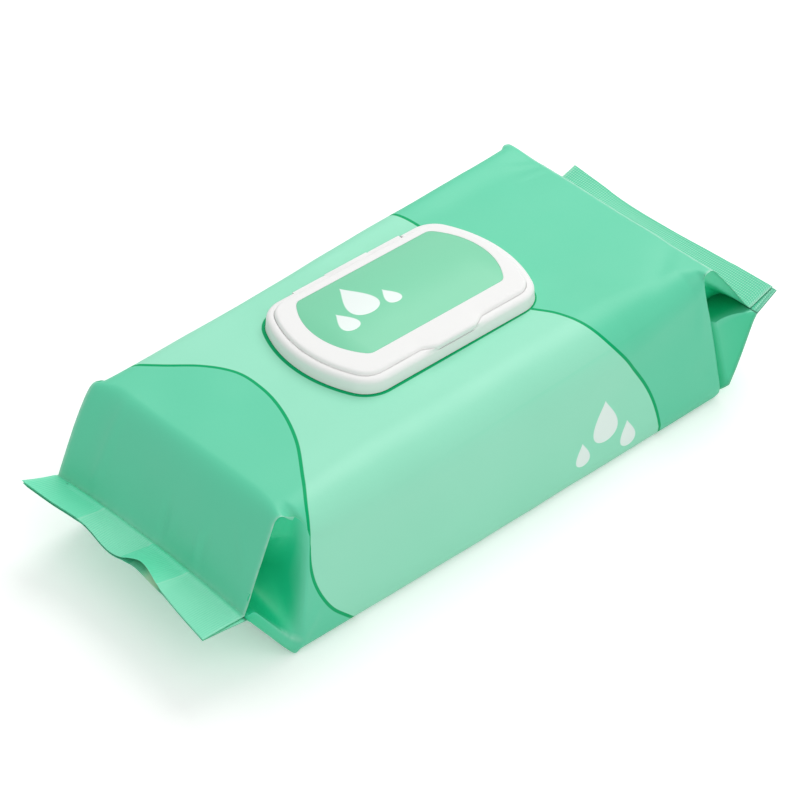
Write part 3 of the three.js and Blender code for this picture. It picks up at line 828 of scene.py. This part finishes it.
def film_rings(film):
    """The bag's sections from the left seal to the right one, with their place round the film, their fold wear with
    painted highlight, and their painted tuck shade.
    """
    stations = np.concatenate(
        [
            np.linspace(-film.left_tip, -film.left_root, LEFT_SEAL_STEPS + 1)[:-1],
            np.linspace(-film.left_root, -90, 38)[:-1],
            np.arange(-90, 90.1, 2.0),
            np.linspace(90, film.right_root, 40)[1:],
            np.linspace(film.right_root, film.right_tip, RIGHT_SEAL_STEPS + 1)[1:],
        ]
    )
    rings, around, wear_and_highlight, tuck_shade = [], [], [], []
    for x in stations:
        halves = zip((-1, -1, 1, 1, 1), film_half(x, "front", film), film_half(x, "back", film))
        v, y, z, worn_and_highlit, depth = (np.concatenate([sign * front[::-1], back[1:]]) for sign, front, back in halves)
        rings.append(np.c_[np.full_like(y, x), y, z])
        around.append(v)
        # Painted highlight along the seals' roots and the right end's top fold, added to the fold wear
        at_root = math.exp(-(((abs(x) - (film.left_root if x < 0 else film.right_root)) / 0.6) ** 2))
        at_fold = math.exp(-(((x - film.right_fold) / 0.7) ** 2))
        edge = (0.35 * at_root + 0.8 * at_fold) * (np.abs(v) < 53)
        wear_and_highlight.append(np.clip(worn_and_highlit + edge, 0, 1))
        tuck_shade.append(depth)
    return np.array(rings), np.array(around), np.array(wear_and_highlight), np.array(tuck_shade)


def outline_gap(x, y, size, centre, end_radius, corner_radius):
    """Signed distance in plan from points to a barrel outline, positive outside."""
    px, py = np.abs(x - centre[0]), np.abs(y - centre[1])
    bow_x = size[0] / 2 - end_radius
    corner_y = size[1] / 2 - corner_radius
    corner_x = bow_x + math.sqrt((end_radius - corner_radius) ** 2 - corner_y**2)
    bow = np.hypot(px - bow_x, py) - end_radius
    side = py - size[1] / 2
    corner = np.hypot(px - corner_x, py - corner_y) - corner_radius
    turn = corner_y / (corner_x - bow_x)
    on_corner = (px > corner_x) & (py > turn * (px - bow_x))
    return np.where(on_corner, corner, np.where(px > corner_x, bow, np.maximum(side, bow)))


def lid_gap(x, y, lid):
    """Signed distance in plan from points to the lid frame's outline, positive outside."""
    return outline_gap(x, y, LID_SIZE, LID_MIDDLE, lid.end_radius, lid.corner_radius)


def window_size(lid):
    """Length and width of the dispensing window."""
    return LID_SIZE - 2 * np.array((lid.window_end, lid.window_side))


def outward(points):
    """Outward directions of a lofted skin at each of its points."""
    across = np.cross(np.gradient(points, axis=0), np.gradient(points, axis=1))
    return across / np.maximum(np.linalg.norm(across, axis=-1, keepdims=True), 1e-9)


def shape_film(rings, v, film, lid):
    """Lets the lofted bag sag and crease: dents, wandering film, a lean, slanted folds and wavy seals."""
    x0 = rings[..., 0]
    on_top = np.abs(v) < TOP_END
    on_side = (np.abs(v) > TOP_END) & (np.abs(v) < SIDE_END)
    on_base = np.abs(v) > np.abs(v).max(axis=1, keepdims=True) - BASE_HALF
    clear = np.where(on_top, ease(1.0, 14.0, lid_gap(x0, rings[..., 1], lid)), 1.0)

    wander = [
        0.5 * noise.noise((px * 0.021, pv * 0.03, 3.1)) + 0.2 * noise.noise((px * 0.055, pv * 0.06, 7.7))
        for px, pv in zip(x0.ravel(), v.ravel())
    ]
    at_left, at_right = ease(film.left_root - 3, film.left_root, -x0), ease(film.right_root - 3, film.right_root, x0)
    in_body = 1 - np.maximum(at_left, at_right)
    push = np.reshape(wander, x0.shape) * clear * np.where(on_base, 0.0, 1.0)
    push += bumps(x0, rings[..., 1], TOP_DENTS) * (np.abs(v) < 53) * clear
    push += bumps(x0, rings[..., 2], SIDE_DENTS) * on_side * (np.abs(x0) < 97)
    moved = rings + outward(rings) * (push * in_body)[..., None]
    x, y, z = moved[..., 0], moved[..., 1], moved[..., 2]

    # Seals: the left one waves and parts where only two layers meet, the right one dips in the middle
    past = np.clip((-x0 - film.left_root) / (film.left_tip - film.left_root), 0, 1)
    across = np.clip(y, SEAL_PLACES[0], SEAL_PLACES[-1])
    wave = curve(SEAL_PLACES, (-1.0, -1.2, -0.6, -0.2, -2.4, -0.6, 0.8, 3.2), across)
    reach = curve(SEAL_PLACES, (4.5, 2.6, 0.4, -1.6, -0.4, -2.0, -0.4, 1.2), across)
    mouth = np.exp(-(((y + 8) / 7.5) ** 2)) * np.where(np.abs(v) < SHEET_END, 2.2, np.where(on_base, -1.8, 0.0))
    layers = 0.3 * ease(-19.5, -18.2, y) - 0.3 * ease(1.5, 2.8, y) + 0.25 * ease(27.5, 28.8, y)
    roll = 0.5 * np.exp(-(((-x0 - film.left_root - 1.6) / 1.1) ** 2)) * (np.abs(v) < 46)
    z = z + roll + past**1.3 * wave + past**2.5 * mouth + ease(0, 0.15, past) * layers * np.where(on_base, -1, 1)
    x = x - past * reach
    rise = np.clip((x0 - film.right_root) / (film.right_tip - film.right_root), 0, 1)
    dip = curve((-53, -26, 2, 25, 40, 54), (0.2, -1.0, -2.8, -2.9, -1.2, 0.4), np.clip(y, -53, 54))
    sheet = np.where(np.abs(v) < SHEET_END, -1.0, np.where(on_base, 1.0, 0.0))
    pressed = 0.27 * ease(0, 0.2, rise) * (1 - ease(30, 35, np.abs(y)))
    z = z + dip * ease(film.right_root - 0.5, film.right_tip, x0) + pressed * sheet

    # The ends lean out towards the base, the top is pulled askew, and its back edge stands up a little
    height = np.clip(z / FILM_HIGH[2], 0, 1)
    x = x - film.left_slant * (1 - height) * ease(70, 97, -x0) + film.right_slant * (1 - height) * ease(70, 97, x0)
    x = x - 1.6 * (y / 50) ** 2 * ease(106, film.left_root, -x0)
    y = y + np.interp(x0, (-140, -40, 30, 104), (-0.4, 0.4, 2.4, 4.8)) * height
    back = np.exp(-(((np.abs(v) - 50) / 6) ** 2)) * (v > 0)
    z = z + np.interp(x0, (-90, -43, 2, 49, 95), (0, 0.3, 0.8, 1.3, 1.6)) * back * (1 - ease(99, 104, np.abs(x0)))

    # The base lies flat, with its folded back seam; under the lid the film is held down, and in and round the window it
    # is set 4 mm lower
    from_middle = np.abs(v).max(axis=1, keepdims=True) - np.abs(v)
    seam = np.where(from_middle < 6.0, 0.12, np.where(from_middle < 8.0, 0.5, 0.0))
    flat = on_base & (np.abs(x0) < 96)
    z = np.where(flat, seam * (1 - ease(90, 96, np.abs(x0))), np.maximum(z, 0.0))
    cut = outline_gap(x, y, window_size(lid), LID_MIDDLE, *WINDOW_RADII)
    under_lid = on_top & (lid_gap(x, y, lid) < 2.0)
    z = np.where(under_lid, np.minimum(z, FILM_HIGH[2]), z)
    z = np.where(on_top & (cut < 4.0), FILM_HIGH[2] - 4.0, z)
    return np.stack([x, y, z], axis=-1)


def flat_lengths(points, v):
    """The film's flat coordinates: length along the pack from its middle, and length round it."""
    steps = np.linalg.norm(np.diff(points[..., :2], axis=0), axis=-1)
    steps = np.hypot(steps, np.where(np.abs(points[1:, :, 0]) > 96, np.diff(points[..., 2], axis=0), 0))
    along = np.vstack([np.zeros((1, points.shape[1])), np.cumsum(steps, axis=0)])
    middle = int(np.argmin(np.abs(points[:, 0, 0])))
    return np.stack([along - along[middle] + points[middle, 0, 0], v], axis=-1)


class PACK_OT_film(bpy.types.Operator):
    """Builds the printed film bag with its tucked ends and crimped seals"""

    bl_idname = "pack.film"
    bl_label = "Film bag"

    def execute(self, context):
        film, lid = in_mm(context.scene.pack_film), in_mm(context.scene.pack_lid)
        rings, v, wear_and_highlight, tuck_shade = film_rings(film)
        placed = shape_film(rings, v, film, lid)
        flats = flat_lengths(placed, v)
        x, y = placed[..., 0], placed[..., 1]
        ring = lid_gap(x, y, lid) - np.interp(x - LID_MIDDLE[0], (-49, 0, 42, 49), (1.4, 1.0, 0.65, 0.1))
        sealed = ease(0.3, 1.2, -rings[..., 0] - film.left_root) + ease(0.3, 1.2, rings[..., 0] - film.right_root)
        along, around = flats[..., 0], flats[..., 1]
        band = np.minimum(line_gap(LEFT_LINE, along, around), -line_gap(RIGHT_LINE, along, around))
        marks = {
            "print_band": band,
            "lid_ring": np.where((np.abs(v) < 46) & (np.abs(x) < 80), ring, 50.0),
            # Pale fold lines: worn ink and painted highlight
            "fold_wear": wear_and_highlight,
            "seal": sealed,
            "bare": np.zeros_like(sealed),
            # Painted shade in the tucks
            "tuck": tuck_shade,
        }
        # At each seal's edge the film turns in over its own thickness, and is closed inside at the seal's root
        inner = placed - FILM_THICKNESS * outward(placed)
        last = len(placed) - 1
        left, right = range(LEFT_SEAL_STEPS, -1, -2), range(last, last - RIGHT_SEAL_STEPS - 1, -2)
        for root in (left[0], right[-1]):
            top = np.abs(v[root]) < SHEET_END
            middle = np.interp(inner[root, :, 1], placed[root, top, 1], placed[root, top, 2] - SHEET_GAP)
            inner[root, :, 2] = middle + 0.3 * (inner[root, :, 2] - middle)
        rows = [*left, *range(len(placed)), *right]
        shell = np.concatenate([inner[left], placed, inner[right]])
        marks = {key: mark[rows][:, :-1] for key, mark in marks.items()}
        # The inside is painted dark as painted shade, but for bare film at the left seal's open mouth
        inside = slice(len(left))
        marks["bare"][inside] = np.exp(-(((shell[inside, :-1, 1] + 12.5) / 5.0) ** 4))
        marks["tuck"][inside] = 2.0 * (1 - marks["bare"][inside])
        # The right seal's inside is painted dark too: painted shade
        marks["tuck"][-len(right) :] = 2.0
        bm = bmesh.new()
        skin(bm, shell[:, :-1], flat=flats[rows], marks=marks)
        finish(bm, "film_bag", printed_film(), "pack", ["film_wrap"], sharp=60)
        return {"FINISHED"}


# The wipes


class PACK_OT_wipes(bpy.types.Operator):
    """Builds the stack of folded wipes with the soft top wipe under the window"""

    bl_idname = "pack.wipes"
    bl_label = "Folded wipes"

    def execute(self, context):
        half = STACK_HIGH[1] - 1.5
        low, high = STACK_LOW[2], STACK_HIGH[2]
        breaks, at = rounded_box(half, low, high, 3.0, 12.0)
        spans = (0, breaks[2], 50), (breaks[2], breaks[3], 60), (breaks[3], breaks[5], 20)
        v = np.concatenate([[0], *(np.linspace(*span)[1:] for span in spans)])
        y, z = at(v)
        y = np.concatenate([-y[::-1], y[1:]])[:-1]
        z = np.concatenate([z[::-1], z[1:]])[:-1]
        xs = np.linspace(STACK_LOW[0] + 5, STACK_HIGH[0] - 5, 110)
        grid_x, grid_y = np.meshgrid(xs, y, indexing="ij")
        grid_z = np.repeat(z[None], len(xs), axis=0)
        top = grid_z > high - 0.6
        u, w = grid_x - LID_MIDDLE[0], grid_y - LID_MIDDLE[1]
        # The top wipe's folded edge, a soft pinched ridge where it is pulled up, and shallow rumples
        edge = 1.0 + 1.2 * np.sin(u / 17.0)
        fold = 0.5 * ease(-0.6, 0.6, w - edge) - 0.5
        ridge = 3.4 * np.exp(-(((w - 5 - 2.0 * np.sin(u / 11.0)) / 3.6) ** 2) - (u / 17.0) ** 4)
        rumple = [noise.noise((a * 0.07, b * 0.09, 1.7)) for a, b in zip(u.ravel(), w.ravel())]
        rumple = np.reshape(rumple, u.shape)
        inside = np.exp(-((u / 30.0) ** 4) - (w / 15.0) ** 4)
        grid_z = np.where(top, grid_z + fold + ridge + (0.6 * rumple - 0.1) * inside, grid_z)
        # Edges of the folded layers along the sides
        layers = 0.35 * np.sin(grid_z * 2 * math.pi / 1.9) * (np.abs(grid_y) > half - 2)
        grid_y = grid_y + np.sign(grid_y) * layers
        bm = bmesh.new()
        skin(bm, np.stack([grid_x, grid_y, grid_z], axis=-1))
        finish(bm, "folded_wipes", nonwoven(), "pack", ["wipes_stack"])
        return {"FINISHED"}


# The lid

# Half the hinge's length, and heights over the film
HINGE_HALF = 25.5
HINGE_LAND = 3.6
NOTCH_FLOOR = 4.3
RIM_TOP = 5.6
DECK_TOP = 1.2
LIP_TOP = 3.4
SKIRT_FOOT = 2.2
COVER_TOP = 7.0
LABEL_TOP = 6.97


def ring_points(size, middle, radii, inset, z, **spacing):
    """Points at an inset from a barrel outline and a height over the film."""
    plan = barrel(size, *radii, inset, **spacing) + np.array(middle[:2])
    return np.c_[plan, np.full(len(plan), FRAME_LOW[2] + z)]


def lid_points(inset, z, lid):
    """Points at an inset from the lid frame's outline, with extra ones where the hinge ends."""
    stops = (HINGE_HALF + 0.2, HINGE_HALF + 0.5)
    return ring_points(LID_SIZE, LID_MIDDLE, (lid.end_radius, lid.corner_radius), inset, z, stops=stops)


def window_points(inset, z, lid):
    """Points at an inset from the dispensing window's outline."""
    return ring_points(window_size(lid), LID_MIDDLE, WINDOW_RADII, inset, z, straight=64)


def label_points(inset, z):
    """Points at an inset from the label's outline."""
    middle, size = (LABEL_LOW + LABEL_HIGH) / 2, (LABEL_HIGH - LABEL_LOW)[:2]
    return ring_points(size, middle, LABEL_RADII, inset, z, straight=64)


def tab_offset(x, lid):
    """How far the thumb tab stands out along the lid's front edge, at x from the lid's middle."""
    half = lid.tab_width / 2
    return lid.tab_reach * (1 - ease(half - 7.0, half, np.abs(x)))


class PACK_OT_lid_frame(bpy.types.Operator):
    """Builds the moulded frame with its deck, window lip, thumb notch and hinge land"""

    bl_idname = "pack.lid_frame"
    bl_label = "Lid frame"

    def execute(self, context):
        lid = in_mm(context.scene.pack_lid)
        rim = lid.plate_inset - 0.15
        # From the wall's foot over the rim to the deck, and over the lip into the window
        wall = (0.0, 0.0), (0.12, 0.9), (0.45, RIM_TOP), (rim, RIM_TOP), (rim, DECK_TOP)
        lip = (-1.2, DECK_TOP), (-1.2, LIP_TOP), (0.0, LIP_TOP), (0.0, 0.0)
        bm = bmesh.new()
        outlines = [lid_points(*at, lid) for at in wall] + [window_points(*at, lid) for at in lip]
        rings = sweep(bm, outlines, joined=True)
        round_rings(bm, [rings[2]], 1.9, 10)
        round_rings(bm, [rings[3]], 0.2, 3)
        round_rings(bm, [rings[6], rings[7]], 0.5, 4)
        round_rings(bm, [rings[4], rings[5]], 0.4, 3)
        # The rounded wall makes room for the thumb tab, and is cut down under it and along the hinge
        half, front = lid.tab_width / 2, FRAME_LOW[1] - LID_MIDDLE[1]
        for v in bm.verts:
            x, y, z = v.co.x / MM - LID_MIDDLE[0], v.co.y / MM - LID_MIDDLE[1], v.co.z / MM - FRAME_LOW[2]
            if y < -20 and z > 1.7:
                into = np.clip((y - front - 0.6) / (lid.plate_inset - 0.8), 0, 1)
                v.co.y -= tab_offset(x, lid) * into * MM
                z = min(z, NOTCH_FLOOR + 4 * ease(half - 7.0, half - 4.0, abs(x)))
            elif y > 20:
                z = min(z, HINGE_LAND + 9 * ease(HINGE_HALF + 0.25, HINGE_HALF + 0.45, abs(x)))
            v.co.z = (FRAME_LOW[2] + z) * MM
        finish(bm, "dispenser_frame", white_moulding(), "pack", ["lid_frame"])
        return {"FINISHED"}


class PACK_OT_flip_lid(bpy.types.Operator):
    """Builds the flip lid with its skirt, thumb tab, sealing ring and hinge bar"""

    bl_idname = "pack.flip_lid"
    bl_label = "Flip lid"

    def execute(self, context):
        lid = in_mm(context.scene.pack_lid)
        floor, inset = FRAME_LOW[2], lid.plate_inset

        def shaped(points, tab=0.0, foot=None, scoop=0.0):
            """Sets out the thumb tab, lifts the skirt's foot at the hinge and hollows the top beside the tab."""
            x, y = points[:, 0] - LID_MIDDLE[0], points[:, 1] - LID_MIDDLE[1]
            half = lid.tab_width / 2
            front = ease(16, 20, -y)
            points[:, 1] -= tab * tab_offset(x, lid) * front
            points[:, 2] -= scoop * front * np.exp(-(((np.abs(x) - half + 1.0) / 4.0) ** 2))
            if foot is not None:
                points[:, 2] = np.maximum(points[:, 2], floor + foot + 2.9 * ease(10, 16, y))
            return points

        bm = bmesh.new()
        rings = sweep(
            bm,
            [
                lid_points(inset + 1.0, RIM_TOP, lid),
                shaped(lid_points(inset + 1.0, SKIRT_FOOT, lid), foot=SKIRT_FOOT),
                shaped(lid_points(inset, SKIRT_FOOT, lid), foot=SKIRT_FOOT),
                shaped(lid_points(inset, 4.35, lid), foot=2.3),
                shaped(lid_points(inset, 4.5, lid), 1.0, foot=2.4),
                shaped(lid_points(inset, COVER_TOP, lid), 1.0, scoop=0.35),
                shaped(lid_points(inset + 2.0, COVER_TOP, lid), 0.8, scoop=0.3),
                (shaped(lid_points(inset + 2.0, COVER_TOP, lid), 0.5) + label_points(-0.3, COVER_TOP)) / 2,
                label_points(-0.1, COVER_TOP),
                label_points(-0.1, 6.74),
            ],
        )
        round_rings(bm, [rings[5]], 1.3, 8)
        round_rings(bm, [rings[4]], 0.5, 3)
        round_rings(bm, [rings[1], rings[2]], 0.3, 3)
        ring = (0.4, 5.8), (0.4, 2.4), (1.4, 2.4), (1.4, 5.8)
        plug = sweep(bm, [window_points(*at, lid) for at in ring], joined=True)
        round_rings(bm, [plug[1], plug[2]], 0.4, 4)
        # The bar that the hinge strip is moulded to
        back, half, middle = FRAME_HIGH[1] - inset, HINGE_HALF - 0.4, LID_MIDDLE[0]
        block(bm, (middle - half, back - 1.5, floor + 4.1), (middle + half, back - 0.05, floor + 6.0), 0.3)
        finish(bm, "cover_plate", white_moulding(), "lid", ["flip_lid"])
        return {"FINISHED"}


class PACK_OT_hinge_strip(bpy.types.Operator):
    """Builds the thin moulded strip that bends between the frame and the flip lid, its middle standing out"""

    bl_idname = "pack.hinge_strip"
    bl_label = "Hinge strip"

    def execute(self, context):
        bend_y, bend_z, back = FRAME_HIGH[1] - 0.5, FRAME_LOW[2] + 4.35, FRAME_HIGH[1]

        def section(x, reach):
            """The strip cut across at x: a turn of film-thin moulding with a leg to each side."""
            outside = arc((bend_y + reach, bend_z), 0.62, -90, 90, 10)
            inside = arc((bend_y + reach, bend_z), 0.36, 90, -90, 10)
            over = [(back - 3.9, outside[-1, 1]), (back - 3.9, inside[0, 1])]
            under = [(back - 2.4, inside[-1, 1]), (back - 2.4, outside[0, 1])]
            points = np.vstack([outside, over, inside, under])
            return np.c_[np.full(len(points), LID_MIDDLE[0] + x), points]

        steps = [(HINGE_HALF, 0.0), (11.2, 0.0), (11.0, -0.2), (10.2, -0.2), (10.0, 0.35)]
        bm = bmesh.new()
        sweep(bm, [section(-x, reach) for x, reach in steps] + [section(x, reach) for x, reach in steps[::-1]])
        piece = finish(bm, "hinge_strip", white_moulding(), None)
        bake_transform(piece)
        return {"FINISHED"}


class PACK_OT_label(bpy.types.Operator):
    """Builds the printed label stuck in the flip lid's shallow recess"""

    bl_idname = "pack.label"
    bl_label = "Label"

    def execute(self, context):
        bm = bmesh.new()
        rings = sweep(bm, [label_points(0.0, 6.76), label_points(0.0, LABEL_TOP)])
        round_rings(bm, [rings[1]], 0.1, 2)
        finish(bm, "cover_label", label_print(), "lid", ["lid_label"])
        return {"FINISHED"}


# The stage

FLOOR_HALF = 6.0
FLOOR_GLOW = 0.26
FILL_SHARE = 0.55


def set_up(name, data, place, back):
    """Adds a camera or a lamp at a place, its back turned to a direction."""
    made = bpy.data.objects.new(name, data)
    made.location = place
    made.rotation_euler = back.to_track_quat("Z", "Y").to_euler()
    bpy.context.scene.collection.objects.link(made)
    return made


class PACK_OT_stage(bpy.types.Operator):
    """Sets the camera at the photograph's angle, soft light, and a pale floor"""

    bl_idname = "pack.stage"
    bl_label = "Stage"

    def execute(self, context):
        stage = context.scene.pack_stage
        a, e = stage.azimuth, stage.elevation
        back = Vector((math.sin(a) * math.cos(e), -math.cos(a) * math.cos(e), math.sin(e)))
        camera = bpy.data.cameras.new("camera")
        camera.lens = stage.lens
        camera.sensor_width = 36.0
        camera.sensor_fit = "HORIZONTAL"
        camera.clip_start = 0.05
        context.scene.camera = set_up("camera", camera, Vector(stage.aim) + back * stage.distance, back)

        bm = bmesh.new()
        bmesh.ops.create_grid(bm, x_segments=1, y_segments=1, size=FLOOR_HALF)
        mesh = bpy.data.meshes.new("floor")
        bm.to_mesh(mesh)
        bm.free()
        floor = bpy.data.objects.new("floor", mesh)
        context.scene.collection.objects.link(floor)
        paint, tree, shader = material("floor_paint", roughness=0.9, specular_ior_level=0.1)
        shader.inputs["Base Color"].default_value = (*stage.floor, 1)
        path = node(tree, "ShaderNodeLightPath").outputs
        seen = math_node(tree, "MAXIMUM", path["Is Camera Ray"], path["Is Glossy Ray"])
        glow = math_node(tree, "MULTIPLY", seen, FLOOR_GLOW)
        shader.inputs["Emission Color"].default_value = (1, 1, 1, 1)
        tree.links.new(glow, shader.inputs["Emission Strength"])
        mesh.materials.append(paint)

        world = bpy.data.worlds.new("studio")
        context.scene.world = world
        world.use_nodes = True
        sky = world.node_tree
        path = node(sky, "ShaderNodeLightPath").outputs
        plain = math_node(sky, "MAXIMUM", path["Is Camera Ray"], path["Is Glossy Ray"])
        plain = math_node(sky, "MAXIMUM", plain, path["Is Transmission Ray"])
        strength = math_node(sky, "MULTIPLY_ADD", plain, 1.0 - stage.sky, stage.sky)
        ground = sky.nodes["Background"]
        ground.inputs["Color"].default_value = (1, 1, 1, 1)
        sky.links.new(strength, ground.inputs["Strength"])

        lamps = (
            ("key_lamp", (0.75, 0.25, 1.1), 1.0, stage.key),
            ("fill_lamp", (-0.3, -1.0, 1.05), 1.2, stage.key * FILL_SHARE),
        )
        for name, place, size, power in lamps:
            lamp = bpy.data.lights.new(name, "AREA")
            lamp.shape = "DISK"
            lamp.size = size
            lamp.energy = power
            set_up(name, lamp, place, Vector(place))
        context.scene.view_settings.view_transform = "Standard"
        return {"FINISHED"}


class PACK_PT_panel(bpy.types.Panel):
    """Lists the pack's pieces and their settings"""

    bl_label = "Soft wipes pack"
    bl_idname = "PACK_PT_panel"
    bl_space_type = "VIEW_3D"
    bl_region_type = "UI"
    bl_category = "Pack"

    def draw(self, context):
        for operator in OPERATORS:
            self.layout.operator(operator.bl_idname)
        for name in SETTINGS:
            box = self.layout.box()
            group_of = getattr(context.scene, name)
            for key in group_of.__annotations__:
                box.prop(group_of, key)


OPERATORS = [
    PACK_OT_stage,
    PACK_OT_film,
    PACK_OT_wipes,
    PACK_OT_lid_frame,
    PACK_OT_flip_lid,
    PACK_OT_hinge_strip,
    PACK_OT_label,
]
SETTINGS = {"pack_film": FilmSettings, "pack_lid": LidSettings, "pack_stage": StageSettings}


def register():
    for cls in (*SETTINGS.values(), *OPERATORS, PACK_PT_panel):
        bpy.utils.register_class(cls)
    for name, cls in SETTINGS.items():
        setattr(bpy.types.Scene, name, PointerProperty(type=cls))


def unregister():
    for name in SETTINGS:
        delattr(bpy.types.Scene, name)
    for cls in (PACK_PT_panel, *reversed(OPERATORS), *reversed(list(SETTINGS.values()))):
        bpy.utils.unregister_class(cls)


def main():
    """Builds the whole pack."""
    register()
    for name in ("stage", "film", "wipes", "lid_frame", "flip_lid", "hinge_strip", "label"):
        getattr(bpy.ops.pack, name)()


if __name__ == "__main__":
    main()
